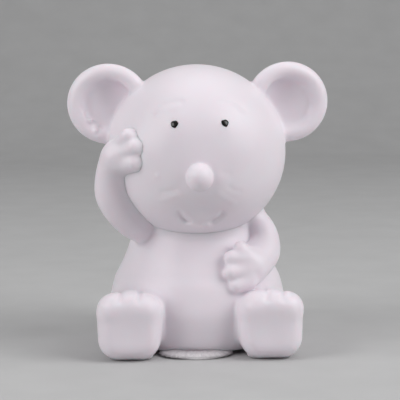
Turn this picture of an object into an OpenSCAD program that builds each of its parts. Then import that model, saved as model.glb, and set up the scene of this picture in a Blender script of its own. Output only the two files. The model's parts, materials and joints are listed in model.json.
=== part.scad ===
// Clockwork mouse: a seated vinyl mouse figure with a wind-up motor inside,
// a winding key at the back and two drive wheels and a roller underneath.
// Millimetres, +Z up, floor at z = 0, the mouse faces -Y.

/* [Figure] */
// Radius of the ball head
head_r = 23.3; // [22.6:0.1:23.6]
// Wall thickness of the vinyl mouldings
wall = 2; // [1.6:0.1:2.1]
// Radius of each ear
ear_r = 10.4; // [9.4:0.1:11]
// Radius of the nose ball
nose_r = 3.5; // [2.8:0.1:4]
// Radius of the eye beads
eye_r = 1.25; // [1:0.05:1.5]
// Width of each foot
foot_w = 17.2; // [16:0.1:17.4]
// Height of each foot
foot_h = 18.1; // [17:0.1:18.4]
// Radius of the paw fingers
finger_r = 1.8; // [1.4:0.05:1.9]

/* [Key] */
// Distance of each wing centre from the key's axis
wing_offset = 5.6; // [5:0.1:6.5]
// Radius of each key wing
wing_r = 4.6; // [4:0.1:5]
// Thickness of the key wings
wing_t = 1.6; // [1.2:0.1:2]

/* [Wheels] */
// Width of the drive wheels
wheel_w = 3.2; // [2.4:0.1:3.4]
// Radial thickness of the rubber tyres
tyre_t = 1.3; // [1:0.1:1.6]
// Width of the front roller
roller_w = 4; // [3:0.1:4.4]

/* [Clockwork] */
// Turns in the mainspring
spring_turns = 5; // [4:1:6]
// Thickness of the mainspring strip
spring_t = 0.24; // [0.15:0.01:0.3]
// Radial thickness of the barrel wall
barrel_wall = 0.6; // [0.5:0.05:0.7]
// Radius of the governor's swept circle
fly_r = 3.2; // [2.6:0.1:3.4]

/* [Hidden] */
// gear teeth
gear_module = 0.5;
wheel_add = 0.45;
wheel_ded = 0.6;
pinion_add = 0.4;
pinion_ded = 0.65;
barrel_teeth = 32;
second_teeth = 24;
governor_teeth = 20;
pinion_teeth = 8;
contrate_teeth = 18;
axle_teeth = 9;
contrate_r = 4.7;
axle_module = 2 * contrate_r / contrate_teeth;

// centres of the arbors, and the stack of planes between the plates
axle_z = 9;
third_z = axle_z;
second_z = third_z + gear_module * (second_teeth + pinion_teeth) / 2;
main_z = second_z + gear_module * (barrel_teeth + pinion_teeth) / 2;
governor_angle = 153;
governor_gap = gear_module * (governor_teeth + pinion_teeth) / 2;
governor_x = governor_gap * cos(governor_angle);
governor_z = third_z + governor_gap * sin(governor_angle);
front_plate_y = 4.4;
back_plate_y = 13;
plate_t = 0.8;
inside_y = front_plate_y + plate_t;
outside_y = back_plate_y + plate_t;
second_gear_y = 5.8;
barrel_y = 7.5;
barrel_end_y = 12.2;
governor_gear_y = 9.5;
gear_t = 1.2;
run_gap = 0.05;
fix_gap = 0.02;
arbor_r = 0.75;
main_arbor_r = 1.5;
main_pivot_r = 1;
barrel_r = 7.1;

// plates, pillars and screws
pillar_spots = [[-8, 6], [8, 6], [-9.6, 22], [9.6, 22], [0, 36.8]];
pillar_r = 1.2;
screw_r = 0.6;
screw_head_r = 1.3;
tab_spots = [[7.2, 6.9], [6.8, 15.4]];
tab_screw_r = 0.75;
low_head_r = 1.5;
head_sink = 0.8;
plate_foot_z = 3.3;
click_pin = [6.4, 19.5];
click_y = outside_y + 0.4;
click_t = 1;
ratchet_teeth = 12;
ratchet_r = 4.6;
ratchet_step = 0.9;

// underside
body_y = 2.5;
base_z = 1.8;
base_t = 1.4;
base_top = base_z + base_t;
opening_r = 18.7;
plate_r = 18.5;
lip_r = 19.6;
ring_r = 17.6;
pad_r = 9.3;
pad_z = 0.15;
pad_at = [-0.7, -13.5];
roller_r = 3.5;
roller_y = -10.5;
roller_pin_r = 0.7;
wheel_r = axle_z;
wheel_x = 10.2;
wheel_hole_ring = 4.3;
wheel_hole_r = 1.1;
wheel_boss_r = 2.2;
axle_r = 1;
post_x = 7.4;
post_t = 1.4;
post_r = 2.3;
slot_half = [2.1, 7.4];
slot_x = wheel_x + 1.6;
roller_gap = 0.4;

// vinyl mouldings
head_at = [0, -4.5, 52.7];
ear_at = [23.8, -3, 65.6];
ear_turn = 12;
nose_at = [-0.4, -28.7, 48];
eye_left_at = [6.1, 61.3];
eye_right_at = [-6.4, 61.1];
neck_at = [0, 1.7];
neck_r = 12.6;
smile_r = 6.2;
smile_tilt = 36.7;
skin_gap = 0.25;
key_boss_r = 5;
key_boss_y = 23.4;
bush_r = 3;
key_hub_y = 24.7;
key_hub_len = 7;
key_hub_r = 2.6;
arbor_end_y = key_hub_y + 5.6;
torso_x = 0.4;
torso_low = 1;
torso_top = 43.5;
torso_profile = [
    [19.8, torso_low], [21.5, 1.3], [22.8, 2.7], [23.5, 5.4], [23.8, 9.5], [23.4, 13.8],
    [22.3, 17.8], [20.8, 21], [19.2, 24.5], [18, 28], [16.9, 31.5], [15.6, 35.5],
    [13.5, 39.5], [10.8, torso_top]
];
foot_x = 17.8;
foot_front = -26.5;
foot_low = 0.3;
foot_corner = 4.4;
toe_r = 2.5;
leg_at = [15.5, -10, 9.6];
leg_r = 7.2;

key_back = key_hub_y + key_hub_len + wing_r;
frame_y = (nose_r - nose_at.y - key_back) / 2;

vinyl = [0.9, 0.88, 0.9];
steel = [0.72, 0.73, 0.75];
brass = [0.83, 0.66, 0.32];
black = [0.05, 0.05, 0.05];
dark_rubber = [0.16, 0.16, 0.17];
nylon = [0.93, 0.91, 0.84];

// ---------- helpers ----------

// Puts the origin under the middle of the whole toy, nose to key
module in_frame() {
    translate([0, frame_y, 0])
        children();
}

// A straight round bar along +Y from y0 to y1 at (x, z)
module bar_y(x, z, r, y0, y1, fn = 32) {
    translate([x, y1, z])
        rotate([90, 0, 0])
            cylinder(h = y1 - y0, r = r, $fn = fn);
}

// A straight round bar along +X from x0 to x1 at (y, z)
module bar_x(y, z, r, x0, x1, fn = 32) {
    translate([x0, y, z])
        rotate([0, 90, 0])
            cylinder(h = x1 - x0, r = r, $fn = fn);
}

// A flat outline drawn in X and Z, made thick from y0 to y1
module sheet_y(y0, y1) {
    translate([0, y1, 0])
        rotate([90, 0, 0])
            linear_extrude(y1 - y0)
                children();
}

// A box given by its two corners
module block(low, high) {
    translate(low)
        cube(high - low);
}

// A rounded link between two balls
module link(p, q, rp, rq, fn = 24) {
    hull() {
        translate(p) sphere(r = rp, $fn = fn);
        translate(q) sphere(r = rq, $fn = fn);
    }
}

// Outline of a toothed wheel: root circle plus tapered teeth, tooth 0 along +X
module teeth_outline(count, pitch_r, add, ded, w_root, w_pitch, w_tip) {
    root = pitch_r - ded;
    circle(r = root, $fn = 64);
    for (i = [0 : count - 1])
        rotate(360 * i / count)
            polygon([
                [root - 0.3, -w_root / 2], [pitch_r, -w_pitch / 2],
                [pitch_r + 0.6 * add, -0.25 * (w_pitch + w_tip)], [pitch_r + add, -w_tip / 2],
                [pitch_r + add, w_tip / 2], [pitch_r + 0.6 * add, 0.25 * (w_pitch + w_tip)],
                [pitch_r, w_pitch / 2], [root - 0.3, w_root / 2]
            ]);
}

module wheel_outline(count) {
    teeth_outline(count, gear_module * count / 2, wheel_add, wheel_ded, 0.72, 0.64, 0.28);
}

module pinion_outline(count) {
    teeth_outline(count, gear_module * count / 2, pinion_add, pinion_ded, 0.5, 0.56, 0.26);
}

// A spoked train wheel on a Y arbor; turn is the angle of tooth 0 from +X towards +Z
module train_wheel(x, z, count, y0, turn, hole_r, window_r, window_at) {
    difference() {
        translate([x, 0, z])
            sheet_y(y0, y0 + gear_t)
                rotate(turn)
                    difference() {
                        wheel_outline(count);
                        for (a = [0 : 72 : 359])
                            rotate(a + 36)
                                translate([window_at, 0])
                                    circle(r = window_r, $fn = 24);
                    }
        bar_y(x, z, hole_r, y0 - 1, y0 + gear_t + 1);
    }
}

module train_pinion(x, z, y0, y1, turn, hole_r) {
    difference() {
        translate([x, 0, z])
            sheet_y(y0, y1)
                rotate(turn)
                    pinion_outline(pinion_teeth);
        bar_y(x, z, hole_r, y0 - 1, y1 + 1);
    }
}

// ---------- vinyl mouldings ----------

module torso_solid(inset, low) {
    wall_line = [for (p = torso_profile) if (p.y >= low) [p.x - inset, p.y]];
    translate([torso_x, body_y, 0])
        rotate_extrude($fn = 72)
            polygon(concat([[0, low], [wall_line[0].x, low]], wall_line, [[0, torso_top]]));
}

module foot_block(side, inset) {
    cx = side * foot_x;
    half = foot_w / 2 - foot_corner;
    z0 = foot_low + foot_corner;
    z1 = foot_low + foot_h - foot_corner - 0.9;
    hull() {
        for (dx = [-half, half])
            for (z = [z0, z1]) {
                translate([cx + dx, foot_front + foot_corner, z])
                    sphere(r = foot_corner - inset, $fn = 28);
                bar_y(cx + dx, z, foot_corner - 2.2 - inset / 2, foot_front + inset, foot_front + 3, 28);
            }
        translate([side * leg_at.x, leg_at.y, leg_at.z])
            sphere(r = leg_r - inset, $fn = 28);
    }
}

module toes(side) {
    cx = side * foot_x;
    for (i = [-1 : 1])
        link([cx + i * 4.8, foot_front + 2.6, foot_low + foot_h - 2.9 + 0.5 * (1 - abs(i))],
            [cx + i * 4.4, -16, foot_low + foot_h - 4.6], toe_r, toe_r, 20);
}

// The right arm rises beside the head and rests its paw on the cheek
module raised_arm() {
    path = [[-12.5, -4, 31.5, 4.2], [-16.9, -8.5, 34, 4.2], [-20.4, -11, 37.7, 4.1],
        [-22.6, -12.2, 41.5, 4], [-22.9, -13, 45.4, 3.9], [-22.3, -14.5, 49.6, 3.7],
        [-21.4, -16, 53, 3.3]];
    for (i = [0 : len(path) - 2])
        link([path[i].x, path[i].y, path[i].z], [path[i + 1].x, path[i + 1].y, path[i + 1].z],
            path[i][3], path[i + 1][3]);
    link([-21.6, -17.6, 54.6], [-18.9, -20.4, 58.2], 1.8, 1.45, 16);
    link([-20.4, -19.2, 53.2], [-17.2, -22, 55.5], 2, 1.7, 16);
    link([-20.6, -18.8, 50.3], [-17.4, -22, 50.8], 2, 1.7, 16);
}

// The left arm hangs from the shoulder and lays its paw on the belly
module belly_arm() {
    path = [[14.9, -4, 34.5, 3.4], [17, -6, 31.5, 3.6], [17.7, -7.4, 28.8, 3.9],
        [16.9, -9.8, 25.8, 4.6], [13.6, -13.8, 23, 4.9]];
    for (i = [0 : len(path) - 2])
        link([path[i].x, path[i].y, path[i].z], [path[i + 1].x, path[i + 1].y, path[i + 1].z],
            path[i][3], path[i + 1][3]);
    link([13.6, -15.8, 25.4], [10.6, -16.8, 28.4], 1.9, 1.5, 16);
    link([12.6, -17, 25.2], [8.5, -18, 25.9], finger_r, finger_r, 16);
    link([12.2, -17.8, 22.3], [8.4, -19, 22.2], finger_r + 0.1, finger_r + 0.1, 16);
    link([12.9, -18, 19.9], [9.9, -19.2, 18.6], finger_r, finger_r, 16);
}

module body_shell() {
    in_frame() color(vinyl)
        difference() {
            union() {
                torso_solid(0, torso_low);
                for (side = [-1, 1]) {
                    foot_block(side, 0);
                    toes(side);
                }
                raised_arm();
                belly_arm();
                bar_y(0, main_z, key_boss_r, 18.4, key_boss_y, 48);
            }
            difference() {
                torso_solid(wall, torso_low + wall);
                bar_y(0, main_z, key_boss_r, 18.4, key_boss_y, 48);
            }
            for (side = [-1, 1])
                foot_block(side, wall);
            translate([0, body_y, -1])
                cylinder(h = 5, r = opening_r, $fn = 96);
            translate(head_at)
                sphere(r = head_r + skin_gap, $fn = 72);
            bar_y(0, main_z, bush_r + run_gap, 16, 26, 48);
        }
}

module ear(side) {
    translate([side * ear_at.x, ear_at.y, ear_at.z])
        rotate([90, 0, side * ear_turn])
            scale(ear_r / 10.4)
                rotate_extrude($fn = 64)
                    polygon([
                        [0, -2.6], [4, -2.4], [7.4, -1.5], [9.4, -0.2], [10.2, 1.2], [10.4, 2.3],
                        [10.2, 3.1], [9.7, 3.6], [9, 3.7], [8.3, 3.3], [7.6, 2.3], [6.2, 1.1],
                        [4, 0.4], [0, 0.1]
                    ]);
}

// Turns +Z to the outward direction of the head's surface at an eye
module at_eye(spot) {
    dx = spot.x - head_at.x;
    dz = spot.y - head_at.z;
    tilt = asin(dz / head_r);
    swing = asin(dx / (head_r * cos(tilt)));
    translate(head_at)
        rotate([0, 0, swing])
            rotate([90 - tilt, 0, 0])
                translate([0, 0, head_r])
                    children();
}

module head_shell() {
    in_frame() color(vinyl)
        difference() {
            union() {
                translate(head_at) sphere(r = head_r, $fn = 96);
                ear(-1);
                ear(1);
                translate(nose_at) sphere(r = nose_r, $fn = 48);
                bar_y(nose_at.x, nose_at.z, nose_r - 0.9, nose_at.y, nose_at.y + 4, 32);
            }
            translate(head_at) sphere(r = head_r - wall, $fn = 96);
            translate([neck_at.x, neck_at.y, 20])
                cylinder(h = 25, r = neck_r, $fn = 72);
            for (spot = [eye_left_at, eye_right_at])
                at_eye(spot)
                    translate([0, 0, -wall - 1])
                        cylinder(h = wall + 3, r = 0.8, $fn = 24);
            smile_groove();
        }
}

module smile_groove() {
    translate(head_at)
        rotate([90 + smile_tilt, 0, 0])
            translate([0, 0, sqrt(head_r * head_r - smile_r * smile_r)])
                rotate([0, 0, 195])
                    rotate_extrude(angle = 150, $fn = 64)
                        translate([smile_r, 0])
                            circle(r = 0.4, $fn = 16);
}

module eye(spot) {
    in_frame() color(black)
        at_eye(spot) {
            difference() {
                sphere(r = eye_r, $fn = 32);
                translate([0, 0, -head_r])
                    sphere(r = head_r + 0.05, $fn = 96);
            }
            translate([0, 0, -1.6])
                cylinder(h = 2, r = 0.75, $fn = 24);
        }
}

module eye_left() {
    eye(eye_left_at);
}

module eye_right() {
    eye(eye_right_at);
}

// ---------- underside ----------

module base_plate() {
    in_frame() color(vinyl)
        difference() {
            union() {
                translate([0, body_y, base_z])
                    cylinder(h = base_t, r = plate_r, $fn = 96);
                translate([0, body_y, base_z])
                    difference() {
                        union() {
                            cylinder(h = 2.7, r = plate_r, $fn = 96);
                            translate([0, 0, 2.2])
                                cylinder(h = 0.7, r = lip_r, $fn = 96);
                        }
                        translate([0, 0, -1])
                            cylinder(h = 5, r = ring_r, $fn = 96);
                    }
                translate([pad_at.x, pad_at.y, pad_z])
                    cylinder(h = torso_low - 0.1 - pad_z, r = pad_r, $fn = 64);
                intersection() {
                    translate([pad_at.x, pad_at.y, pad_z + 0.3])
                        cylinder(h = base_z, r = pad_r, $fn = 64);
                    translate([0, body_y, pad_z])
                        cylinder(h = base_t + base_z - pad_z, r = plate_r, $fn = 96);
                }
                for (side = [-1, 1]) {
                    roller_ear(side);
                    axle_post(side);
                }
            }
            block([-roller_w / 2 - roller_gap, roller_y - 3.8, -1],
                [roller_w / 2 + roller_gap, roller_y + 3.8, 6.6]);
            for (side = [-1, 1]) {
                block([side * slot_x - slot_half.x, -slot_half.y, -1],
                    [side * slot_x + slot_half.x, slot_half.y, base_top + 0.1]);
                for (spot = tab_spots)
                    translate([side * spot.x, spot.y, 0]) {
                        cylinder(h = 6, r = tab_screw_r + run_gap, $fn = 24);
                        cylinder(h = base_z + head_sink, r = low_head_r + 0.1, $fn = 32);
                    }
            }
            bar_x(roller_y, roller_r, roller_pin_r + fix_gap, -6, 6);
            bar_x(0, axle_z, axle_r + run_gap, -12, 12);
        }
}

module roller_ear(side) {
    x0 = roller_w / 2 + roller_gap;
    block([min(side * x0, side * (x0 + 1.4)), roller_y - 2, base_z + 0.2],
        [max(side * x0, side * (x0 + 1.4)), roller_y + 2, 5.4]);
}

module axle_post(side) {
    x0 = side > 0 ? post_x : -post_x - post_t;
    block([x0, -post_r, base_z + 0.2], [x0 + post_t, post_r, axle_z]);
    bar_x(0, axle_z, post_r, x0, x0 + post_t);
}

// One machine screw along +Z with its head sunk in the base plate
module low_screw(x, y) {
    head_z = base_z + head_sink;
    difference() {
        union() {
            translate([x, y, head_z - 0.7]) cylinder(h = 0.7, r = low_head_r, $fn = 32);
            translate([x, y, head_z - 0.3])
                cylinder(h = plate_foot_z + 1.1 - head_z, r = tab_screw_r, $fn = 24);
        }
        block([x - 2, y - 0.2, base_z - 1], [x + 2, y + 0.2, head_z - 0.4]);
    }
}

module motor_screws() {
    in_frame() color(steel)
        for (side = [-1, 1])
            for (spot = tab_spots)
                low_screw(side * spot.x, spot.y);
}

module roller_pin() {
    in_frame() color(steel)
        bar_x(roller_y, roller_r, roller_pin_r, -3.9, 3.9);
}

module front_roller() {
    in_frame() color(dark_rubber)
        difference() {
            bar_x(roller_y, roller_r, roller_r, -roller_w / 2, roller_w / 2, 64);
            bar_x(roller_y, roller_r, roller_pin_r + run_gap, -5, 5);
        }
}

// ---------- motor frame ----------

module plate_outline() {
    difference() {
        union() {
            translate([-9.4, plate_foot_z]) square([18.8, 20]);
            translate([0, main_z]) circle(r = 9.4, $fn = 64);
            translate([-1.8, 33]) square([3.6, 4]);
            translate([0, 36.8]) circle(r = 1.8, $fn = 32);
            for (x = [-9.6, 9.6]) translate([x, 22]) circle(r = 1.9, $fn = 32);
        }
        for (spot = pillar_spots)
            translate(spot) circle(r = screw_r + run_gap, $fn = 24);
        translate([0, second_z]) circle(r = arbor_r + run_gap, $fn = 32);
        translate([0, third_z]) circle(r = arbor_r + run_gap, $fn = 32);
        translate([governor_x, governor_z]) circle(r = screw_r + run_gap, $fn = 32);
    }
}

// Mounting tabs folded from the bottom edge of a plate
module plate_tabs(spot, y0, y1) {
    for (side = [-1, 1])
        difference() {
            block([side * spot.x - 1.8, y0, plate_foot_z], [side * spot.x + 1.8, y1, plate_foot_z + 0.8]);
            translate([side * spot.x, spot.y, 0])
                cylinder(h = 6, r = tab_screw_r + fix_gap, $fn = 24);
        }
}

module front_plate() {
    in_frame() color(steel) {
        difference() {
            sheet_y(front_plate_y, inside_y) plate_outline();
            bar_y(0, main_z, main_pivot_r + run_gap, 0, 9);
        }
        plate_tabs(tab_spots[0], inside_y - 0.1, 8.7);
    }
}

module back_plate() {
    in_frame() color(steel) {
        difference() {
            sheet_y(back_plate_y, outside_y) plate_outline();
            bar_y(0, main_z, main_arbor_r + run_gap, 9, 19);
            bar_y(click_pin.x, click_pin.y, screw_r + fix_gap, 9, 19);
        }
        plate_tabs(tab_spots[1], outside_y - 0.1, 17);
    }
}

module plate_pillars() {
    in_frame() color(brass)
        for (spot = pillar_spots)
            difference() {
                bar_y(spot.x, spot.y, pillar_r, inside_y, back_plate_y);
                bar_y(spot.x, spot.y, screw_r + fix_gap, inside_y - 1, inside_y + 2);
                bar_y(spot.x, spot.y, screw_r + fix_gap, back_plate_y - 2, back_plate_y + 1);
            }
}

// One slotted screw along Y; dir is the way its head points
module plate_screw(spot, face_y, dir) {
    head = face_y + dir * 0.6;
    tip = face_y - dir * 2.4;
    difference() {
        union() {
            bar_y(spot.x, spot.y, screw_head_r, min(face_y, head), max(face_y, head));
            bar_y(spot.x, spot.y, screw_r, min(tip, face_y), max(tip, face_y));
        }
        block([spot.x - 2, min(head, head - dir * 0.3), spot.y - 0.16],
            [spot.x + 2, max(head, head - dir * 0.3), spot.y + 0.16]);
    }
}

module plate_screws() {
    in_frame() color(steel)
        for (spot = pillar_spots) {
            plate_screw(spot, front_plate_y, -1);
            plate_screw(spot, outside_y, 1);
        }
}

// Leaf click: riveted to the back plate, its tip stops the ratchet wheel
module click_spring() {
    in_frame() color(steel)
        difference() {
            union() {
                bar_y(click_pin.x, click_pin.y, 1.5, click_y, click_y + click_t);
                sheet_y(click_y, click_y + click_t)
                    polygon([
                        [5.6, 19.9], [5.35, 24.8], [4.6, 26], [3.97, main_z - 0.1], [4.75, main_z - 0.07],
                        [5.3, 26.3], [6, 25.1], [7.1, 19.9]
                    ]);
            }
            bar_y(click_pin.x, click_pin.y, screw_r + fix_gap, click_y - 1, click_y + 2, 24);
        }
}

module click_rivet() {
    in_frame() color(brass) {
        bar_y(click_pin.x, click_pin.y, screw_r, back_plate_y, outside_y + 1.9);
        bar_y(click_pin.x, click_pin.y, 1.1, outside_y + 1.42, outside_y + 1.9);
        difference() {
            bar_y(click_pin.x, click_pin.y, 1.1, outside_y, outside_y + 0.38);
            bar_y(click_pin.x, click_pin.y, screw_r - 0.1, outside_y - 1, outside_y + 1);
        }
    }
}

// ---------- winding side ----------

module key_bush() {
    in_frame() color(brass)
        difference() {
            union() {
                bar_y(0, main_z, bush_r, 18.4, key_boss_y, 48);
                bar_y(0, main_z, bush_r + 1.4, key_boss_y, key_boss_y + 0.8, 48);
            }
            bar_y(0, main_z, main_arbor_r + run_gap, 16, 26, 48);
        }
}

module winding_arbor() {
    in_frame() color(steel) {
        bar_y(0, main_z, main_pivot_r, 3.9, 7);
        bar_y(0, main_z, 2.4, inside_y + 0.15, barrel_y - 0.1);
        bar_y(0, main_z, main_arbor_r, 7, arbor_end_y);
    }
}

module winding_key() {
    y1 = key_hub_y + key_hub_len;
    in_frame() color(steel)
        difference() {
            union() {
                bar_y(0, main_z, key_hub_r, key_hub_y, y1, 48);
                translate([-wing_t / 2, 0, main_z])
                    rotate([90, 0, 90])
                        linear_extrude(wing_t)
                            key_outline(y1);
            }
            bar_y(0, main_z, main_arbor_r + fix_gap, 20, arbor_end_y + 0.1, 32);
        }
}

// Bow of the key, drawn along Y and Z from its axis
module key_outline(y1) {
    difference() {
        union() {
            for (side = [-1, 1])
                translate([y1, side * wing_offset])
                    circle(r = wing_r, $fn = 64);
            translate([y1 - 3, -wing_offset])
                square([4.4, 2 * wing_offset]);
        }
        for (side = [-1, 1])
            translate([y1 + 0.2, side * wing_offset])
                circle(r = wing_r * 0.48, $fn = 48);
    }
}

module ratchet_wheel() {
    in_frame() color(steel)
        difference() {
            translate([0, 0, main_z])
                sheet_y(click_y, click_y + click_t)
                    polygon([
                        for (i = [0 : ratchet_teeth - 1], s = [0, 0.5, 1])
                            spiral_at(ratchet_r - ratchet_step * s, 360 / ratchet_teeth * (i + s * 0.9999))
                    ]);
            bar_y(0, main_z, main_arbor_r + fix_gap, 9, 19);
        }
}

module barrel() {
    in_frame() color(brass)
        difference() {
            union() {
                translate([0, 0, main_z])
                    sheet_y(barrel_y, barrel_y + gear_t)
                        rotate(-90)
                            wheel_outline(barrel_teeth);
                bar_y(0, main_z, barrel_r, barrel_y + gear_t, barrel_end_y, 64);
            }
            bar_y(0, main_z, barrel_r - barrel_wall, barrel_y + gear_t, barrel_end_y + 1, 64);
            bar_y(0, main_z, main_arbor_r + run_gap, barrel_y - 1, barrel_end_y + 1);
        }
}

module barrel_cover() {
    in_frame() color(steel)
        difference() {
            bar_y(0, main_z, barrel_r - barrel_wall - fix_gap, barrel_end_y - 0.6, barrel_end_y, 64);
            bar_y(0, main_z, main_arbor_r + run_gap, barrel_y, barrel_end_y + 1);
            for (a = [60 : 120 : 359])
                bar_y(4 * cos(a), main_z + 4 * sin(a), 1, barrel_y, barrel_end_y + 1, 24);
        }
}

// Spiral mainspring lying in the barrel
module mainspring() {
    steps = spring_turns * 18;
    r0 = main_arbor_r + 0.25;
    r1 = barrel_r - barrel_wall - 0.4;
    in_frame() color(steel)
        translate([0, 0, main_z])
            sheet_y(barrel_y + gear_t + 0.2, barrel_end_y - 0.8)
                polygon(concat(
                    [for (i = [0 : steps]) spiral_at(r0 + (r1 - r0) * i / steps, i * 20)],
                    [for (i = [steps : -1 : 0]) spiral_at(r0 + (r1 - r0) * i / steps - spring_t, i * 20)]
                ));
}

function spiral_at(r, a) = [r * cos(a), r * sin(a)];

// ---------- going train ----------

module second_arbor() {
    in_frame() color(steel)
        bar_y(0, second_z, arbor_r, front_plate_y - 0.4, outside_y + 0.3);
}

module second_pinion() {
    in_frame() color(brass)
        train_pinion(0, second_z, second_gear_y + gear_t, 9, 90 + 180 / pinion_teeth, arbor_r + fix_gap);
}

module second_wheel() {
    in_frame() color(brass)
        train_wheel(0, second_z, second_teeth, second_gear_y, -90, arbor_r + fix_gap, 1, 3.6);
}

module third_arbor() {
    in_frame() color(steel)
        bar_y(0, third_z, arbor_r, 2.6, outside_y + 0.3);
}

module third_pinion() {
    in_frame() color(brass)
        train_pinion(0, third_z, inside_y + 0.4, second_gear_y + gear_t + 0.2, 90 + 180 / pinion_teeth,
            arbor_r + fix_gap);
}

module governor_wheel() {
    in_frame() color(brass)
        train_wheel(0, third_z, governor_teeth, governor_gear_y, 0, arbor_r + fix_gap, 0.8, 2.9);
}

// Crown wheel whose teeth point at the axle
module contrate_wheel() {
    in_frame() color(brass)
        difference() {
            union() {
                bar_y(0, third_z, 5.5, 3.05, 4, 64);
                for (i = [0 : contrate_teeth - 1])
                    translate([0, 0, third_z])
                        rotate([0, -360 * (i + 0.5) / contrate_teeth, 0])
                            contrate_tooth();
            }
            bar_y(0, third_z, arbor_r + fix_gap, 0, 9);
        }
}

module contrate_tooth() {
    translate([3.8, 0, 0])
        rotate([90, 0, 90])
            linear_extrude(1.6)
                polygon([[1.85, -0.15], [3.2, -0.3], [3.2, 0.3], [1.85, 0.15]]);
}

module governor_arbor() {
    in_frame() color(steel)
        bar_y(governor_x, governor_z, screw_r, front_plate_y - 0.3, outside_y + 0.3);
}

module governor_pinion() {
    in_frame() color(brass)
        train_pinion(governor_x, governor_z, 9.3, 10.8, governor_angle + 180, screw_r + fix_gap);
}

module governor_fly() {
    in_frame() color(steel)
        difference() {
            translate([governor_x, 0, governor_z])
                sheet_y(11.2, 12.4)
                    union() {
                        circle(r = 1.3, $fn = 32);
                        translate([-fly_r + 0.8, -0.5]) square([2 * fly_r - 1.6, 1]);
                        for (x = [-fly_r + 1.1, fly_r - 1.1])
                            translate([x, 0]) circle(r = 1.1, $fn = 32);
                    }
            bar_y(governor_x, governor_z, screw_r + fix_gap, 9, 19);
        }
}

// ---------- axle and wheels ----------

module axle() {
    in_frame() color(steel)
        bar_x(0, axle_z, axle_r, -wheel_x - wheel_w, wheel_x + wheel_w);
}

module axle_pinion() {
    in_frame() color(brass)
        difference() {
            union() {
                translate([4.1, 0, axle_z])
                    rotate([90, 0, 90])
                        linear_extrude(1.1)
                            teeth_outline(axle_teeth, axle_module * axle_teeth / 2, 0.5, 0.6, 0.5, 0.5, 0.26);
                bar_x(0, axle_z, 1.7, 5.2, 6.8);
            }
            bar_x(0, axle_z, axle_r + fix_gap, 0, 9);
        }
}

// Moulded wheel with a dished outer face and round windows
module wheel(side) {
    x0 = side > 0 ? wheel_x : -wheel_x - wheel_w;
    boss0 = side > 0 ? post_x + post_t + 0.2 : -wheel_x - wheel_w;
    boss1 = side > 0 ? wheel_x + wheel_w : -post_x - post_t - 0.2;
    rim = wheel_r - tyre_t;
    dish = side > 0 ? x0 + 1.2 : x0 - 1;
    in_frame() color(nylon)
        difference() {
            union() {
                difference() {
                    bar_x(0, axle_z, rim, x0, x0 + wheel_w, 64);
                    bar_x(0, axle_z, rim - 1.1, dish, dish + wheel_w - 0.2, 64);
                }
                bar_x(0, axle_z, wheel_boss_r, boss0, boss1);
            }
            bar_x(0, axle_z, axle_r + fix_gap, -20, 20);
            for (a = [0 : 60 : 359])
                bar_x(wheel_hole_ring * cos(a), axle_z + wheel_hole_ring * sin(a), wheel_hole_r,
                    side > 0 ? 9 : -20, side > 0 ? 20 : -9, 24);
        }
}

module tyre(side) {
    rim = wheel_r - tyre_t + fix_gap;
    x0 = side > 0 ? wheel_x : -wheel_x - wheel_w;
    in_frame() color(dark_rubber)
        translate([x0, 0, axle_z])
            rotate([0, 90, 0])
                rotate_extrude($fn = 96)
                    polygon([
                        [rim, 0.1], [wheel_r - 0.5, 0.1], [wheel_r - 0.12, 0.35], [wheel_r, 0.9],
                        [wheel_r, wheel_w - 0.9], [wheel_r - 0.12, wheel_w - 0.35],
                        [wheel_r - 0.5, wheel_w - 0.1], [rim, wheel_w - 0.1]
                    ]);
}

module wheel_left() {
    wheel(1);
}

module wheel_right() {
    wheel(-1);
}

module tyre_left() {
    tyre(1);
}

module tyre_right() {
    tyre(-1);
}

body_shell();
head_shell();
eye_left();
eye_right();
base_plate();
motor_screws();
front_plate();
back_plate();
plate_pillars();
plate_screws();
click_spring();
click_rivet();
key_bush();
winding_arbor();
winding_key();
ratchet_wheel();
barrel();
barrel_cover();
mainspring();
second_arbor();
second_pinion();
second_wheel();
third_arbor();
third_pinion();
contrate_wheel();
governor_wheel();
governor_arbor();
governor_pinion();
governor_fly();
axle();
axle_pinion();
wheel_left();
wheel_right();
tyre_left();
tyre_right();
roller_pin();
front_roller();
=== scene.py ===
"""Looks of the clockwork mouse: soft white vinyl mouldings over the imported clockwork."""

import json
import math

import bpy
import numpy as np
from mathutils import Matrix, Vector


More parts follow.
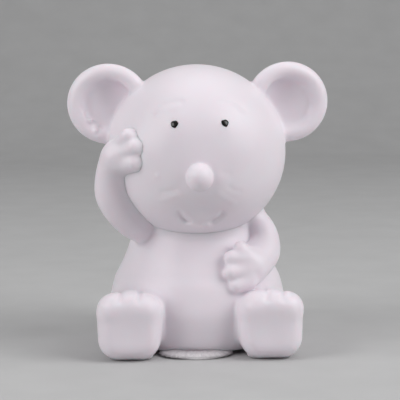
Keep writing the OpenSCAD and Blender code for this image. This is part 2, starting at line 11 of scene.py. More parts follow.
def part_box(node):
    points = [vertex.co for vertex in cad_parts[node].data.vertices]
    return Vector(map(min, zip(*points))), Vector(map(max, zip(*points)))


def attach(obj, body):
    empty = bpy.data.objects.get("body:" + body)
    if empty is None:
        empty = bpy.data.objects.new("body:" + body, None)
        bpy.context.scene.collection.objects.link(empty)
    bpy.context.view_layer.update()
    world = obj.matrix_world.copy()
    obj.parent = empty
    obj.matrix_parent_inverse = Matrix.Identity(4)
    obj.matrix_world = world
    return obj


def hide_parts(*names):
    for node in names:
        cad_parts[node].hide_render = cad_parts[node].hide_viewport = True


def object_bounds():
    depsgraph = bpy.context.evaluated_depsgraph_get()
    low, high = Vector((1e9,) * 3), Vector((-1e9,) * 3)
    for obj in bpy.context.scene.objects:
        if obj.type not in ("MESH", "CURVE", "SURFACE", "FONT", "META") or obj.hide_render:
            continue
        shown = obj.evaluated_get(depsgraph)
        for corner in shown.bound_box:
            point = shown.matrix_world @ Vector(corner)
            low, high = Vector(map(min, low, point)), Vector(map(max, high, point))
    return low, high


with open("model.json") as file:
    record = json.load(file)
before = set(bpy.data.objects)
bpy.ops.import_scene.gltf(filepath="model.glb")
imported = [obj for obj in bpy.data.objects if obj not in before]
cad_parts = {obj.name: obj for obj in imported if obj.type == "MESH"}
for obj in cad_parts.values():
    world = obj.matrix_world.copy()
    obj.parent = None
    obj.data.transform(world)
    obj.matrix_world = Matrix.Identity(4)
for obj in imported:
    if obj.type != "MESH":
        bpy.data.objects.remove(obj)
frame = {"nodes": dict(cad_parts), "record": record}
CAD_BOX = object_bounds()
MM = 0.001
STEP = 0.4  # spacing of the modelling grid, mm

# The toy's own millimetres: x and y from the middle of the axle, z from the floor
AXLE = [(a + b) / 2 / MM for a, b in zip(*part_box("axle"))]
SHIFT = np.array([AXLE[0], AXLE[1], 0.0])

HEAD_LOW, HEAD_HIGH = (np.array(c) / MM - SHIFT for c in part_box("head_shell"))
HEAD_SIZE = np.array([23.5, 23.3, 22.95])  # half-widths
EAR_TOP = 23.6  # from the middle of the head up to the tops of the ears, mm
HEAD_X = (HEAD_LOW[0] + HEAD_HIGH[0]) / 2
HEAD = np.array([HEAD_X, HEAD_HIGH[1] - HEAD_SIZE[1], HEAD_HIGH[2] - EAR_TOP])
WALL = 2.0
FAR = 40.0  # distance that an empty block of clay holds, mm
KEY_Z = sum(c[2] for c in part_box("winding_arbor")) / 2 / MM
BOSS_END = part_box("body_shell")[1][1] / MM - SHIFT[1]


# ---------- modelling clay: shapes as distances on a grid ----------


def soft_min(a, b, k):
    """The smaller of two distances, with the corner between them rounded over k."""
    if k <= 0:
        return np.minimum(a, b)
    h = np.maximum(k - np.abs(a - b), 0) / k
    return np.minimum(a, b) - h * h * k * 0.25


class Clay:
    """A block of distances in millimetres: negative inside the shape, positive outside."""

    def __init__(self, low, high, step=STEP):
        self.low, self.step = np.array(low, float), step
        count = np.ceil((np.array(high, float) - self.low) / step).astype(int) + 1
        self.axes = [
            (self.low[i] + step * np.arange(count[i])).astype(np.float32) for i in range(3)
        ]
        self.d = np.full(count, FAR, np.float32)

    def empty_copy(self):
        """An empty block on the same grid."""
        return Clay(self.low, self.low + self.step * (np.array(self.d.shape) - 1))

    def window(self, low, high):
        """The grid's cells between two corners, with their places along x, y and z."""
        cut = [
            slice(*np.searchsorted(a, (lo, hi)))
            for a, lo, hi in zip(self.axes, low, high)
        ]
        x, y, z = (a[c] for a, c in zip(self.axes, cut))
        return tuple(cut), x[:, None, None], y[None, :, None], z[None, None, :]

    def add(self, shape, blend=0.0):
        """Joins a shape to the clay, with the joint rounded over blend."""
        dist, low, high = shape
        pad = blend + 3 * self.step
        cut, x, y, z = self.window(np.array(low) - pad, np.array(high) + pad)
        self.d[cut] = soft_min(self.d[cut], dist(x, y, z), blend)

    def carve(self, shape, blend=0.0):
        """Cuts a shape out of the clay, with the new edges rounded over blend."""
        dist, low, high = shape
        pad = blend + 3 * self.step
        cut, x, y, z = self.window(np.array(low) - pad, np.array(high) + pad)
        self.d[cut] = -soft_min(-self.d[cut], dist(x, y, z), blend)

    def emboss(self, shape):
        """Raises the surface by the height that shape gives at each place."""
        height, low, high = shape
        cut, x, y, z = self.window(low, high)
        self.d[cut] -= height(x, y, z)

    def sample(self, points):
        """Distance and its slope at points."""
        g = (points - self.low) / self.step
        i = np.clip(np.floor(g).astype(int), 0, np.array(self.d.shape) - 2)
        f = g - i
        c = {}
        for a in (0, 1):
            for b in (0, 1):
                for e in (0, 1):
                    c[a, b, e] = self.d[i[:, 0] + a, i[:, 1] + b, i[:, 2] + e]
        wx, wy, wz = ((1 - f[:, k], f[:, k]) for k in range(3))
        value = sum(c[a, b, e] * wx[a] * wy[b] * wz[e] for a, b, e in c)
        slope = np.stack(
            [
                sum(c[a, b, e] * (2 * a - 1) * wy[b] * wz[e] for a, b, e in c),
                sum(c[a, b, e] * wx[a] * (2 * b - 1) * wz[e] for a, b, e in c),
                sum(c[a, b, e] * wx[a] * wy[b] * (2 * e - 1) for a, b, e in c),
            ],
            1,
        )
        return value, slope / self.step


CORNERS = [(a, b, c) for a in (0, 1) for b in (0, 1) for c in (0, 1)]
EDGES = [
    (i, j)
    for i in range(8)
    for j in range(i + 1, 8)
    if sum(abs(p - q) for p, q in zip(CORNERS[i], CORNERS[j])) == 1
]


def skin(clay):
    """The clay's surface as points and four-sided faces."""
    d, inside = clay.d, clay.d < 0
    n = [m - 1 for m in d.shape]
    filled = sum(
        inside[a : a + n[0], b : b + n[1], c : c + n[2]].astype(np.uint8)
        for a, b, c in CORNERS
    )
    cells = np.argwhere((filled > 0) & (filled < 8))
    number = np.full(n, -1, np.int64)
    number[tuple(cells.T)] = np.arange(len(cells))
    value = np.stack([d[tuple((cells + c).T)] for c in CORNERS], 1)
    total, count = np.zeros((len(cells), 3)), np.zeros(len(cells))
    for a, b in EDGES:
        cross = (value[:, a] < 0) != (value[:, b] < 0)
        gap = np.where(cross, value[:, a] - value[:, b], 1)
        share = (value[:, a] / gap)[:, None]
        start, end = np.array(CORNERS[a]), np.array(CORNERS[b])
        total += cross[:, None] * (start + share * (end - start))
        count += cross
    points = clay.low + clay.step * (cells + total / count[:, None])
    faces = []
    for axis in range(3):
        u, w = (axis + 1) % 3, (axis + 2) % 3
        first = [slice(None)] * 3
        after = [slice(None)] * 3
        first[axis], after[axis] = slice(None, -1), slice(1, None)
        g = np.argwhere(inside[tuple(first)] != inside[tuple(after)])
        eu, ew = np.eye(3, dtype=int)[u], np.eye(3, dtype=int)[w]
        around = [g, g - eu, g - eu - ew, g - ew]
        quad = np.stack([number[tuple(c.T)] for c in around], 1)
        flip = ~inside[tuple(g.T)]
        quad[flip] = quad[flip][:, ::-1]
        faces.append(quad)
    return points, np.concatenate(faces)


def settle(clay, points, faces, rounds=4):
    """Evens out the points, keeping them on the clay's surface."""
    a = faces.ravel()
    b = np.roll(faces, -1, 1).ravel()
    ends = np.concatenate([a, b]), np.concatenate([b, a])
    count = np.bincount(ends[0], minlength=len(points))[:, None]
    for _ in range(rounds):
        mean = np.stack(
            [np.bincount(ends[0], points[ends[1], k], len(points)) for k in range(3)], 1
        )
        points = points + 0.5 * (mean / count - points)
        for _ in range(2):
            value, slope = clay.sample(points)
            size = np.maximum((slope**2).sum(1), 0.25)
            push = np.clip(value / size, -clay.step / 2, clay.step / 2)
            points = points - push[:, None] * slope
    return points


# ---------- shapes ----------


def ball(at, r):
    """A shape is its distance function and the low and high corners of its box."""
    at = np.array(at, float)

    def dist(x, y, z):
        return np.sqrt((x - at[0]) ** 2 + (y - at[1]) ** 2 + (z - at[2]) ** 2) - r

    return dist, at - r, at + r


def egg(at, size):
    """A ball stretched a little along the axes; size holds its three half-widths."""
    at, size = np.array(at, float), np.array(size, float)
    mean = size.mean()

    def dist(x, y, z):
        r = np.sqrt(sum(((c - at[i]) / size[i]) ** 2 for i, c in enumerate((x, y, z))))
        return (r - 1) * mean

    return dist, at - size, at + size


def limb(p, q, rp, rq):
    """A round bar between two points whose radius runs from rp to rq."""
    p, q = np.array(p, float), np.array(q, float)
    d = q - p

    def dist(x, y, z):
        t = ((x - p[0]) * d[0] + (y - p[1]) * d[1] + (z - p[2]) * d[2]) / (d @ d)
        t = np.clip(t, 0, 1)
        off = [(c - p[i] - t * d[i]) ** 2 for i, c in enumerate((x, y, z))]
        return np.sqrt(off[0] + off[1] + off[2]) - (rp + (rq - rp) * t)

    r = max(rp, rq)
    return dist, np.minimum(p, q) - r, np.maximum(p, q) + r


def rounded_box(low, high, r):
    """A box between two corners, with all its edges rounded by r."""
    low, high = np.array(low, float), np.array(high, float)
    mid, half = (low + high) / 2, (high - low) / 2 - r

    def dist(x, y, z):
        q = [np.abs(c - mid[i]) - half[i] for i, c in enumerate((x, y, z))]
        out = np.sqrt(sum(np.maximum(c, 0) ** 2 for c in q))
        return out + np.minimum(np.maximum(np.maximum(q[0], q[1]), q[2]), 0) - r

    return dist, low, high


def rod(at, axis, r, start, end):
    """A straight flat-ended bar along one axis, through the point at."""
    u, w = [i for i in range(3) if i != axis]
    low, high = np.array(at, float), np.array(at, float)
    low[[u, w]] -= r
    high[[u, w]] += r
    low[axis], high[axis] = start, end

    def dist(x, y, z):
        p = (x, y, z)
        round_part = np.sqrt((p[u] - at[u]) ** 2 + (p[w] - at[w]) ** 2) - r
        return np.maximum(round_part, np.maximum(start - p[axis], p[axis] - end))

    return dist, low, high


def smooth_line(points, steps=6):
    """Points along a smooth curve through the given ones (Catmull-Rom)."""
    p = np.array(points, float)
    p = np.vstack([2 * p[0] - p[1], p, 2 * p[-1] - p[-2]])
    out = []
    for i in range(1, len(p) - 2):
        for t in np.arange(steps) / steps:
            out.append(
                0.5
                * (
                    2 * p[i]
                    + (p[i + 1] - p[i - 1]) * t
                    + (2 * p[i - 1] - 5 * p[i] + 4 * p[i + 1] - p[i + 2]) * t**2
                    + (3 * p[i] - p[i - 1] - 3 * p[i + 1] + p[i + 2]) * t**3
                )
            )
    return np.array([*out, p[-2]])


def turned(profile, centre, low_z, high_z):
    """A shape turned about an upright axis; profile is radius against height."""
    curve = smooth_line(profile)
    heights = np.linspace(low_z, high_z, 400)
    radii = np.interp(heights, curve[:, 1], curve[:, 0])
    lean = 1 / np.sqrt(1 + np.gradient(radii, heights) ** 2)

    def dist(x, y, z):
        r = np.sqrt((x - centre[0]) ** 2 + (y - centre[1]) ** 2)
        side = (r - np.interp(z, heights, radii)) * np.interp(z, heights, lean)
        return np.maximum(side, np.maximum(low_z - z, z - high_z)).astype(np.float32)

    wide = radii.max()
    return (
        dist,
        (centre[0] - wide, centre[1] - wide, low_z),
        (centre[0] + wide, centre[1] + wide, high_z),
    )


# ---------- body moulding ----------

TORSO_AT = (0.4, 2.5)
TORSO_LOW, TORSO_TOP = 1.0, 43.5
# Radius and height of the torso's outline
TORSO = [
    (19.6, 1.0), (21.1, 1.2), (22.2, 2.7), (23.0, 5.2), (23.6, 8.8), (23.6, 12.2), (22.4, 17.6),
    (20.8, 21), (19.2, 24.5), (18, 28), (16.9, 31.5), (15.6, 35.5), (13.5, 39.5), (10.8, 43.5),
]
# Each arm's middle line, with its radius
RAISED_ARM = [
    (-12.5, -4, 31.5, 4.2), (-16.9, -8.5, 34, 4.2), (-20.4, -11, 37.7, 4.1),
    (-22.6, -12.2, 41.5, 4), (-22.9, -13, 45.4, 3.9), (-22.3, -14.5, 49.6, 3.7),
    (-21.4, -16, 53, 3.3),
]
BELLY_ARM = [
    (14.9, -4, 34.5, 3.4), (17.0, -6, 31.5, 3.6), (17.7, -7.4, 28.8, 3.9),
    (16.9, -9.8, 25.8, 4.6), (13.6, -13.8, 23, 4.9),
]
CHEEK_PALM, CHEEK_PALM_R = (-21.3, -16.8, 52.0), 3.7
# Each finger's root and tip, with their radii
CHEEK_FINGERS = [
    ((-21.2, -17.0, 54.6), (-18.4, -19.8, 57.9), 2.1, 1.8),
    ((-20.0, -18.5, 53.0), (-16.8, -21.3, 55.1), 2.2, 1.9),
    ((-20.2, -18.1, 50.5), (-17.0, -21.3, 51.1), 2.2, 1.9),
]
BELLY_PALM, BELLY_PALM_SIZE = (12.6, -15.8, 22.8), (4.3, 3.0, 4.9)
BELLY_FINGERS = [
    ((13.6, -15.2, 25.4), (10.8, -15.9, 28.0), 2.1, 1.9),
    ((12.6, -16.4, 25.2), (8.3, -17.2, 25.7), 2.1, 1.95),
    ((12.2, -17.2, 22.3), (8.2, -18.3, 22.2), 2.1, 2.0),
    ((12.9, -17.5, 19.7), (9.7, -18.6, 18.7), 2.1, 1.9),
]
ARM_BLEND, PALM_BLEND, FINGER_BLEND = 0.4, 1.5, 1.3
BOSS_R, BOSS_START, KEY_BORE_R = 5.0, 18.4, 3.05
BASE_HOLE_R, BASE_HOLE_TOP = 18.7, 4.0
FOOT_X, FOOT_W = 18.3, 16.2
FOOT_FRONT, FOOT_BACK, FOOT_LOW, FOOT_TOP = -26.5, -14.5, 0.2, 16.8
FOOT_ROUND = 5.3
LEG_START, LEG_END = (18.1, -18.4, 9.2), (16, -9, 9.6)
LEG_START_R, LEG_END_R = 7.3, 7.2
TOES = [(-4.2, 13.9, 3.4), (0.3, 14.5, 3.6), (4.6, 13.9, 3.3)]  # outward shift, height, radius
TOE_ROOT_Y = -17
TOE_GROOVES = {-1: (-2.4, 2.6), 1: (-1.2, 3.0)}  # by side, as shifts along +X
SOLE_DISH_AT, SOLE_DISH_SIZE = (FOOT_FRONT - 1.9, 8.2), (6.4, 2.2, 5.6)


def add_arm(clay, path, shoulder_blend):
    """An arm along a curved path; shoulder_blend rounds its first length into the torso."""
    line = smooth_line(path, 4)
    blend = shoulder_blend
    for a, b in zip(line[:-1], line[1:]):
        clay.add(limb(a[:3], b[:3], a[3], b[3]), blend)
        blend = ARM_BLEND


def leg(side, inset=0.0):
    """The lower leg, from inside the foot into the torso; inset leaves a wall around it."""
    start = (side * LEG_START[0], *LEG_START[1:])
    end = (side * LEG_END[0], *LEG_END[1:])
    return limb(start, end, LEG_START_R - inset, LEG_END_R - inset)


def foot_block(side, inset=0.0):
    """The rounded block of a foot; inset leaves a wall around it."""
    cx, half = side * FOOT_X, FOOT_W / 2 - inset
    low = (cx - half, FOOT_FRONT + inset, FOOT_LOW + inset)
    high = (cx + half, FOOT_BACK - inset, FOOT_TOP - inset)
    return rounded_box(low, high, FOOT_ROUND - inset)


def add_foot(clay, side):
    """A foot with three toes, two grooves between them and a dished sole, and its leg."""
    cx = side * FOOT_X
    foot = clay.empty_copy()
    foot.add(foot_block(side))
    foot.add(leg(side), 2.5)
    for shift, z, r in TOES:
        x = cx + side * shift
        tip, root = (x, FOOT_FRONT + r + 0.8, z), (x - side * 0.4, TOE_ROOT_Y, z - 1.6)
        foot.add(limb(tip, root, r, r), 2.4)
    for shift in TOE_GROOVES[side]:
        x = cx + shift
        groove = [(x + 0.3, 19.5), (x + 0.2, 17.2), (x - 0.2, 16.2)]
        foot.emboss(ridge(groove, -0.5, 0.65))
    foot.carve(egg((cx, *SOLE_DISH_AT), SOLE_DISH_SIZE), 3.6)
    clay.d = soft_min(clay.d, foot.d, 2.0)


def body_clay():
    """The body's outside: torso, feet, arms, hands and the boss for the key."""
    clay = Clay((-28.5, -28.5, -0.4), (28.5, 26.5, 61.0))
    clay.add(turned(TORSO, TORSO_AT, TORSO_LOW, TORSO_TOP))
    for side in (-1, 1):
        add_foot(clay, side)
    add_arm(clay, RAISED_ARM, 1.4)
    add_arm(clay, BELLY_ARM, 1.2)
    clay.add(ball(CHEEK_PALM, CHEEK_PALM_R), PALM_BLEND)
    clay.add(egg(BELLY_PALM, BELLY_PALM_SIZE), PALM_BLEND)
    for finger in CHEEK_FINGERS + BELLY_FINGERS:
        clay.add(limb(*finger), FINGER_BLEND)
    clay.add(rod((0, 0, KEY_Z), 1, BOSS_R, BOSS_START, BOSS_END), 1.6)
    return clay


def hollow_body(clay):
    """Leaves a wall around the inside, and opens the base, the key's bore and the neck."""
    cavity = clay.empty_copy()
    cavity.add(turned([(r - WALL, z) for r, z in TORSO], TORSO_AT, TORSO_LOW + WALL, TORSO_TOP))
    cavity.carve(rod((0, 0, KEY_Z), 1, BOSS_R, BOSS_START, BOSS_END))
    for side in (-1, 1):
        cavity.add(foot_block(side, WALL), 0.5)
        cavity.add(leg(side, WALL), 1.0)
    clay.d = np.maximum(clay.d, -cavity.d)
    clay.carve(rod((*TORSO_AT, 0), 2, BASE_HOLE_R, -1.0, BASE_HOLE_TOP))
    clay.carve(rod((0, 0, KEY_Z), 1, KEY_BORE_R, BOSS_START - 2.4, BOSS_END + 2.0))
    # the neck flows out to meet the head, then gives way to it
    clay.add(egg(HEAD, HEAD_SIZE - 0.6), 2.8)
    clay.carve(egg(HEAD, HEAD_SIZE - 0.3))


# ---------- head moulding ----------

EAR_AT = {-1: (-22.8, -3.0, 65.1), 1: (23.65, -3.0, 65.4)}
EAR_TURN = math.radians(12)
EAR_WIDE = 1.05
EAR_R, EAR_RIM_R, EAR_RIM_FORWARD = 8.4, 2.0, 1.85  # ring's radius, its thickness, its place
EAR_BACK_R, EAR_BACK_FORWARD = 18.3, 15.6
EAR_BOWL_R, EAR_BOWL_AT = 12.2, (3.0, 1.4, 11.5)  # inward, up and forward of the ear's middle
NOSE_AT, NOSE_R = (-0.4, -28.7, 48.0), 3.5
NECK_AT, NECK_R = (0.0, 1.7), 12.6


def ear(side):
    """A cupped ear with a thick rolled rim; the cup faces forwards and a little out."""
    at = np.array(EAR_AT[side])
    out = np.array([side * math.sin(EAR_TURN), -math.cos(EAR_TURN)])

    def dist(x, y, z):
        w = (x - at[0]) * out[0] + (y - at[1]) * out[1]
        s = (x - at[0]) * -out[1] + (y - at[1]) * out[0]
        r = np.sqrt((s / EAR_WIDE) ** 2 + (z - at[2]) ** 2)
        rim = np.sqrt((r - EAR_R) ** 2 + (w - EAR_RIM_FORWARD) ** 2) - EAR_RIM_R
        back = np.sqrt(r * r + (w - EAR_BACK_FORWARD) ** 2) - EAR_BACK_R
        slab = np.maximum(back, np.maximum(w - 1.5, r - EAR_R - 1.0))
        inward, up, forward = EAR_BOWL_AT
        off = (s + inward * side) ** 2 + (z - at[2] - up) ** 2 + (w - forward) ** 2
        slab = -soft_min(-slab, np.sqrt(off) - EAR_BOWL_R, 1.2)
        return soft_min(rim, slab, 2.2)

    return dist, at - 11, at + 11


def ridge(points, height, width):
    """A raised line (a groove if height is negative) on the face, drawn in x and z."""
    line = smooth_line(points, 5) if len(points) > 2 else np.array(points, float)

    def rise(x, y, z):
        near = np.full(np.broadcast(x, z).shape, 1e3, np.float32)
        for p, q in zip(line[:-1], line[1:]):
            d = q - p
            t = np.clip(((x - p[0]) * d[0] + (z - p[1]) * d[1]) / (d @ d), 0, 1)
            near = np.minimum(near, (x - p[0] - t * d[0]) ** 2 + (z - p[1] - t * d[1]) ** 2)
        return height * np.exp(-near / width**2) * (y < HEAD[1])

    low = line.min(0) - 3 * width
    high = line.max(0) + 3 * width
    return rise, (low[0], -40, low[1]), (high[0], HEAD[1], high[1])


def swelling(x0, z0, height, wide, tall):
    """A soft mound (a hollow if height is negative) on the face."""

    def rise(x, y, z):
        return height * np.exp(-((x - x0) ** 2) / wide**2 - (z - z0) ** 2 / tall**2) * (y < HEAD[1])

    return rise, (x0 - 3 * wide, -40, z0 - 3 * tall), (x0 + 3 * wide, HEAD[1], z0 + 3 * tall)


# Each mound's x and z, how far it rises, and how wide and tall it is
FACE_MOUNDS = [
    (0.0, 43.6, 0.8, 7.5, 4.2),
    (0.2, 38.6, -0.75, 4.6, 2.6),
    (-10.5, 42.5, 0.35, 5.0, 5.0),
    (10.5, 42.5, 0.35, 5.0, 5.0),
    (-6.3, 61.2, 0.3, 4.2, 3.6),
    (6.2, 61.7, 0.3, 4.2, 3.6),
    (5.0, 46.8, 0.3, 2.2, 2.2),
    (-10.9, 48.0, 0.25, 0.6, 0.8),
]
# Points in x and z, how far the line rises, and its width: brows, whisker ridges, smile and lip
FACE_LINES = [
    ([(-11.9, 63.7), (-10.1, 65.2), (-7.6, 66.2), (-4.6, 66.7)], -0.14, 0.7),
    ([(-10.6, 63.4), (-9.3, 64.6), (-7.6, 65.2), (-5.5, 65.6)], 0.13, 0.7),
    ([(4.9, 67.1), (7.3, 66.7), (9.6, 65.8), (11.7, 64.2)], -0.14, 0.7),
    ([(5.1, 65.7), (7.2, 65.6), (9.0, 64.8), (10.3, 63.4)], 0.13, 0.7),
    ([(-9.6, 44.0), (-7.8, 44.3), (-6.1, 44.9)], -0.22, 0.7),
    ([(-9.8, 41.6), (-7.6, 42.4), (-5.8, 43.4)], 0.2, 0.7),
    ([(4.4, 43.7), (6.4, 42.2), (8.4, 40.9)], 0.14, 0.8),
    ([(7.2, 45.2), (8.7, 44.2), (10.0, 44.0)], -0.1, 0.7),
    ([(5.8, 48.9), (7.2, 48.7)], -0.1, 0.7),
    ([(-5.4, 38.2), (-4.6, 36.8), (-3.1, 35.7)], -0.75, 0.7),
    ([(5.7, 37.7), (4.6, 36.5), (3.1, 35.5)], -0.7, 0.7),
    ([(-2.8, 35.0), (-0.1, 33.9), (2.6, 34.8)], 0.5, 0.75),
]
# Dents and flow marks in the right ear's cup, written like the mounds
EAR_WRINKLES = [
    (-27.8, 61.0, 0.8, 0.8, 0.5),
    (-28.2, 59.6, -0.35, 0.65, 0.6),
    (-26.7, 58.2, 0.7, 0.6, 0.75),
    (-25.4, 59.0, -0.55, 0.8, 0.65),
    (-25.8, 56.7, 0.5, 0.8, 0.55),
    (-29.8, 62.4, 0.35, 0.6, 0.9),
]


def head_clay():
    """The head's outside: ball, ears, brows, cheeks, smile and nose."""
    clay = Clay((-35.6, -33.2, 28.6), (35.6, 20.0, 77.2))
    clay.add(egg(HEAD, HEAD_SIZE))
    for mound in FACE_MOUNDS:
        clay.emboss(swelling(*mound))
    for side in (-1, 1):
        clay.add(ear(side), 0.9)
    for points, height, width in FACE_LINES:
        clay.emboss(ridge(points, height, width))
    for mound in EAR_WRINKLES:
        clay.emboss(swelling(*mound))
    clay.add(ball(NOSE_AT, NOSE_R), 0.4)
    clay.add(limb(NOSE_AT, (NOSE_AT[0], NOSE_AT[1] + 4, NOSE_AT[2] + 0.4), 2.8, 2.8), 0.4)
    return clay


def hollow_head(clay):
    """Leaves a wall around the inside, and opens the neck."""
    clay.carve(egg(HEAD, HEAD_SIZE - WALL))
    clay.carve(rod((NECK_AT[0], NECK_AT[1], 0), 2, NECK_R, 20.0, 45.0))


# ---------- eyes and base edge ----------


BEAD_R = 1.12
PAD_AT, PAD_WIDE, PAD_DEEP = (-1.0, -13.5), 9.6, 8.9


def eye_bead(name, node):
    """A low glossy bead with a slightly uneven edge, set in the face."""
    at = sum((np.array(c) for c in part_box(node)), np.zeros(3)) / 2 / MM - SHIFT
    out = (at - HEAD) / HEAD_SIZE**2
    out /= np.linalg.norm(out)
    at = HEAD + (at - HEAD) / np.sqrt((((at - HEAD) / HEAD_SIZE) ** 2).sum())
    side = np.cross((0, 0, 1), out)
    side /= np.linalg.norm(side)
    up = np.cross(out, side)
    profile = [(1.0, -0.5), (1.0, 0.02), (0.93, 0.2), (0.74, 0.36), (0.46, 0.47), (0.2, 0.51)]
    turns, points, faces = 28, [], []
    for r, h in profile:
        for k in range(turns):
            a = 2 * math.pi * k / turns
            uneven = 1 + 0.06 * math.sin(3 * a + at[0]) + 0.035 * math.sin(5 * a + 1.3)
            spoke = side * math.cos(a) + up * math.sin(a)
            points.append(at + out * h + BEAD_R * r * uneven * spoke)
    for i in range(len(profile) - 1):
        for k in range(turns):
            n = (k + 1) % turns
            faces.append([i * turns + k, i * turns + n, (i + 1) * turns + n, (i + 1) * turns + k])
    last = (len(profile) - 1) * turns
    faces.append(list(range(last, last + turns)))
    faces.append(list(range(turns))[::-1])
    obj = to_mesh(name, np.array(points), faces)
    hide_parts(node)
    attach(obj, "mouse")
    return obj


def pad_edge():
    """The ragged moulded edge of the pad under the belly, along its front."""
    low_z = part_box("base_plate")[0][2] / MM
    rng = np.random.default_rng(7)
    angles = np.radians(np.linspace(-172, -8, 240))
    count = len(angles)
    drop = np.convolve(rng.uniform(0, 1, count + 4), np.ones(2) / 2, "same")[:count]
    proud = np.convolve(rng.uniform(0, 1, count + 4), np.ones(3) / 3, "same")[:count]
    points, faces = [], []
    for a, d, e in zip(angles, drop, proud):
        fade = min(1.0, 4 * math.sin(-a))
        # how far each corner of the strip stands out from the pad, and its height
        ring = [
            (-2.6, low_z + 0.18),
            (-2.6, TORSO_LOW + 0.9),
            (fade * 0.3 * e - 0.6, TORSO_LOW - 0.15 + 0.4 * fade * d),
            (fade * (0.1 + 0.45 * e), low_z + 0.16 + 0.3 * d),
        ]
        x, y = np.sign(math.cos(a)) * abs(math.cos(a)) ** 0.8, -abs(math.sin(a)) ** 0.8
        for proud_by, z in ring:
            across, along = (PAD_WIDE + proud_by) * x, (PAD_DEEP + proud_by) * y
            points.append([PAD_AT[0] + across, PAD_AT[1] + along, z])
    for i in range(count - 1):
        for k in range(4):
            n = (k + 1) % 4
            faces.append([4 * i + k, 4 * i + n, 4 * i + 4 + n, 4 * i + 4 + k])
    last = 4 * (count - 1)
    faces.append([3, 2, 1, 0])
    faces.append([last, last + 1, last + 2, last + 3])
    obj = to_mesh("pad_edge", np.array(points), faces)
    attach(obj, "mouse")
    return obj


def to_mesh(name, points, faces):
    """A smooth-shaded mesh object from points in the toy's millimetres."""
    mesh = bpy.data.meshes.new(name)
    rows = faces.tolist() if isinstance(faces, np.ndarray) else faces
    mesh.from_pydata(((points + SHIFT) * MM).tolist(), [], rows)
    mesh.polygons.foreach_set("use_smooth", np.ones(len(faces), bool))
    mesh.validate()
    mesh.update()
    obj = bpy.data.objects.new(name, mesh)
    bpy.context.scene.collection.objects.link(obj)
    return obj


def moulding(name, clay, node):
    """The clay as a vinyl piece that takes the place of a CAD node."""
    points, faces = skin(clay)
    obj = to_mesh(name, settle(clay, points, faces), faces)
    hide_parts(node)
    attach(obj, "mouse")
    return obj


# ---------- materials ----------


class Look:
    """A procedural material: a Principled shader with helpers for its texture nodes."""

    def __init__(self, name, **sockets):
        self.material = bpy.data.materials.new(name)
        self.material.use_nodes = True
        self.tree = self.material.node_tree
        self.shader = self.tree.nodes["Principled BSDF"]
        for key, value in sockets.items():
            self.shader.inputs[key.replace("_", " ")].default_value = value
        self.place = self.tree.nodes.new("ShaderNodeTexCoord").outputs["Object"]

    def node(self, kind, links=None, **values):
        made = self.tree.nodes.new(kind)
        for key, value in values.items():
            if hasattr(made, key):
                setattr(made, key, value)
            else:
                made.inputs[key.replace("_", " ")].default_value = value
        for key, source in (links or {}).items():
            self.tree.links.new(source, made.inputs[key])
        return made

    def noise(self, scale, detail=3.0, stretch=(1, 1, 1), rough=0.5):
        mapped = self.node("ShaderNodeMapping", {"Vector": self.place}, Scale=stretch)
        links = {"Vector": mapped.outputs[0]}
        made = self.node("ShaderNodeTexNoise", links, Scale=scale, Detail=detail, Roughness=rough)
        return made.outputs["Fac"]

    def ramp(self, source, stops):
        made = self.node("ShaderNodeValToRGB", {"Fac": source})
        bar = made.color_ramp.elements
        while len(bar) < len(stops):
            bar.new(0.5)
        for element, (at, colour) in zip(bar, stops):
            element.position = at
            element.color = (*colour, 1)
        return made.outputs["Color"]

    def span(self, source, low, high, start=0.3, end=0.7):
        made = self.node("ShaderNodeMapRange", {"Value": source})
        limits = {"From Min": start, "From Max": end, "To Min": low, "To Max": high}
        for key, value in limits.items():
            made.inputs[key].default_value = value
        return made.outputs[0]

    def bump(self, source, strength, distance, below=None):
        links = {"Height": source}
        if below is not None:
            links["Normal"] = below
        made = self.node("ShaderNodeBump", links, Strength=strength, Distance=distance)
        return made.outputs[0]

    def wire(self, **sources):
        for key, source in sources.items():
            self.tree.links.new(source, self.shader.inputs[key.replace("_", " ")])
        return self.material


def vinyl_look():
    look = Look(
        "vinyl",
        Subsurface_Weight=0.85,
        Subsurface_Scale=0.0013,
        IOR=1.46,
        Coat_Weight=0.15,
        Coat_Roughness=0.25,
    )
    look.shader.inputs["Subsurface Radius"].default_value = (1.0, 0.78, 0.82)
    tint = look.ramp(
        look.noise(45, 3),
        [(0.3, (0.82, 0.76, 0.815)), (0.55, (0.845, 0.785, 0.84)), (0.75, (0.855, 0.80, 0.85))],
    )
    gloss = look.span(look.noise(160, 2), 0.4, 0.5)
    broad = look.bump(look.noise(90, 2), 0.12, 0.0006)
    fine = look.bump(look.noise(2600, 2), 0.08, 0.00006, broad)
    return look.wire(Base_Color=tint, Roughness=gloss, Normal=fine)


def metal_look(name, dark, light, rough=(0.25, 0.4), stretch=(1, 1, 1), scale=900, bump=0.1):
    look = Look(name, Metallic=1.0)
    grain = look.noise(scale, 3, stretch)
    tint = look.ramp(grain, [(0.3, dark), (0.7, light)])
    gloss = look.span(look.noise(scale * 0.4, 3), *rough)
    return look.wire(Base_Color=tint, Roughness=gloss, Normal=look.bump(grain, bump, 0.00002))


def plastic_look(name, dark, light, rough, scale=500, bump=0.15, depth=0.00005, **sockets):
    look = Look(name, **sockets)
    grain = look.noise(scale, 4)
    tint = look.ramp(grain, [(0.3, dark), (0.7, light)])
    gloss = look.span(look.noise(scale * 0.5, 2), *rough)
    return look.wire(Base_Color=tint, Roughness=gloss, Normal=look.bump(grain, bump, depth))


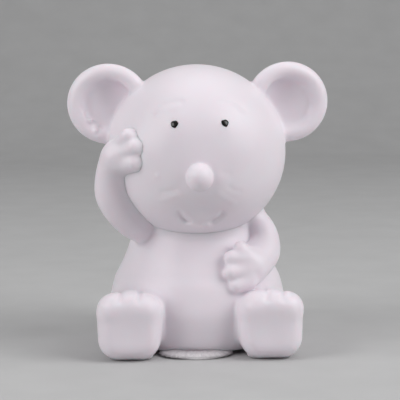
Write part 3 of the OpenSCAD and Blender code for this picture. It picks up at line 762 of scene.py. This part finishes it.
def plastic_looks():
    black, ink = (0.004, 0.004, 0.004), (0.012, 0.011, 0.01)
    chalk, white = (0.66, 0.63, 0.65), (0.78, 0.75, 0.77)
    cream, ivory = (0.72, 0.69, 0.6), (0.8, 0.77, 0.68)
    soot, grey = (0.012, 0.012, 0.013), (0.03, 0.03, 0.032)
    return {
        "eye": plastic_look("eye", black, ink, (0.12, 0.25), 900, 0.2),
        "base": plastic_look("base", chalk, white, (0.5, 0.7), 1400, 0.5, 0.0001),
        "nylon": plastic_look("nylon", cream, ivory, (0.38, 0.5)),
        "rubber": plastic_look("rubber", soot, grey, (0.6, 0.8), 1500, 0.4),
    }


def metal_looks():
    dull, zinc = (0.42, 0.42, 0.43), (0.6, 0.6, 0.62)
    dark_steel, steel = (0.42, 0.43, 0.45), (0.58, 0.59, 0.61)
    dark_blue, blue = (0.07, 0.09, 0.16), (0.14, 0.17, 0.27)
    dark_brass, brass = (0.55, 0.36, 0.11), (0.72, 0.5, 0.2)
    dark_nickel, nickel = (0.62, 0.62, 0.64), (0.74, 0.74, 0.76)
    return {
        "screw": metal_look("screw", dull, zinc),
        "steel": metal_look("steel", dark_steel, steel, (0.28, 0.42), (1, 1, 14), 500),
        "spring": metal_look("spring", dark_blue, blue, (0.22, 0.36)),
        "brass": metal_look("brass", dark_brass, brass, (0.24, 0.38)),
        "key": metal_look("key", dark_nickel, nickel, (0.14, 0.26), scale=400, bump=0.05),
    }


def make_looks():
    return {"vinyl": vinyl_look(), **plastic_looks(), **metal_looks()}


def dress(obj, material):
    obj.data.materials.clear()
    obj.data.materials.append(material)


def dress_nodes(looks):
    slots = {s["node"]: s["material_slot"] for s in frame["record"]["subparts"]}
    for name, obj in frame["nodes"].items():
        dress(obj, looks[slots[name]])


def soften_key():
    """Takes the sharpness off the stamped key's edges."""
    edge = frame["nodes"]["winding_key"].modifiers.new("edge", "BEVEL")
    edge.width, edge.segments = 0.18 * MM, 2
    edge.limit_method, edge.angle_limit = "ANGLE", math.radians(35)


# ---------- stage ----------


def make_floor():
    """A plain floor that bends up into a wall behind the toy, in metres."""
    size = 1.6
    bend, tall, steps = 0.35, 0.9, 24
    back = CAD_BOX[1][1] + 0.45
    side = [(-size, 0.0)]
    for i in range(steps + 1):
        a = math.pi / 2 * i / steps
        side.append((back + bend * math.sin(a), bend * (1 - math.cos(a))))
    side.append((back + bend, tall))
    points = [(x, y, z) for y, z in side for x in (-size, size)]
    faces = [(2 * i, 2 * i + 1, 2 * i + 3, 2 * i + 2) for i in range(len(side) - 1)]
    mesh = bpy.data.meshes.new("floor")
    mesh.from_pydata(points, [], faces)
    mesh.polygons.foreach_set("use_smooth", [True] * len(faces))
    obj = bpy.data.objects.new("floor", mesh)
    bpy.context.scene.collection.objects.link(obj)
    pale, paler = (0.5, 0.5, 0.5), (0.53, 0.53, 0.53)
    dress(obj, plastic_look("paper", pale, paler, (0.8, 0.9), 60, 0.05))


SOFTBOX_SIZE = 0.6
SOFTBOXES = {  # place in metres and power in watts
    "top_softbox": ((0.0, 0.1, 0.7), 1.0),
    "left_softbox": ((-0.6, -0.3, 0.38), 3.0),
    "right_softbox": ((0.6, -0.3, 0.38), 2.4),
    "high_softbox": ((0.5, -0.25, 0.6), 1.75),
}
AMBIENT, AMBIENT_STRENGTH = (0.9, 0.9, 0.92, 1), 0.176


def add_light(name, at, aim, power):
    light = bpy.data.lights.new(name, "AREA")
    light.shape, light.size, light.energy = "DISK", SOFTBOX_SIZE, power
    obj = bpy.data.objects.new(name, light)
    bpy.context.scene.collection.objects.link(obj)
    obj.location = at
    obj.rotation_euler = (Vector(aim) - Vector(at)).to_track_quat("-Z", "Y").to_euler()


def make_lights(middle):
    for name, (at, power) in SOFTBOXES.items():
        add_light(name, at, middle, power)
    world = bpy.data.worlds.new("studio")
    world.use_nodes = True
    sky = world.node_tree.nodes["Background"]
    sky.inputs["Color"].default_value = AMBIENT
    sky.inputs["Strength"].default_value = AMBIENT_STRENGTH
    bpy.context.scene.world = world


def make_camera():
    """In front of the toy, a little from above and from the mouse's right."""
    far, lift, swing, roll = 0.45, math.radians(7), math.radians(-2.8), math.radians(-0.2)
    aim_x, aim_z = 1.07, 38.8  # mm from the middle of the axle and from the floor
    aim = Vector(((AXLE[0] + aim_x) * MM, AXLE[1] * MM, aim_z * MM))
    level = Vector((math.sin(swing), -math.cos(swing), 0.0))
    back = level * math.cos(lift) + Vector((0.0, 0.0, math.sin(lift)))
    camera = bpy.data.cameras.new("camera")
    camera.lens, camera.sensor_width = 150.8, 36
    obj = bpy.data.objects.new("camera", camera)
    bpy.context.scene.collection.objects.link(obj)
    turn = (-back).to_track_quat("-Z", "Y").to_matrix() @ Matrix.Rotation(roll, 3, "Z")
    obj.matrix_world = Matrix.Translation(aim + back * far) @ turn.to_4x4()
    camera.clip_start, camera.clip_end = 0.02, 10
    bpy.context.scene.camera = obj


def main():
    bpy.context.scene.view_settings.view_transform = "Standard"
    looks = make_looks()
    dress_nodes(looks)
    body = body_clay()
    hollow_body(body)
    dress(moulding("vinyl_body", body, "body_shell"), looks["vinyl"])
    head = head_clay()
    hollow_head(head)
    dress(moulding("vinyl_head", head, "head_shell"), looks["vinyl"])
    for side in ("left", "right"):
        dress(eye_bead("bead_" + side, "eye_" + side), looks["eye"])
    dress(pad_edge(), looks["base"])
    soften_key()
    make_floor()
    low, high = CAD_BOX
    make_lights((low + high) / 2)
    make_camera()


main()
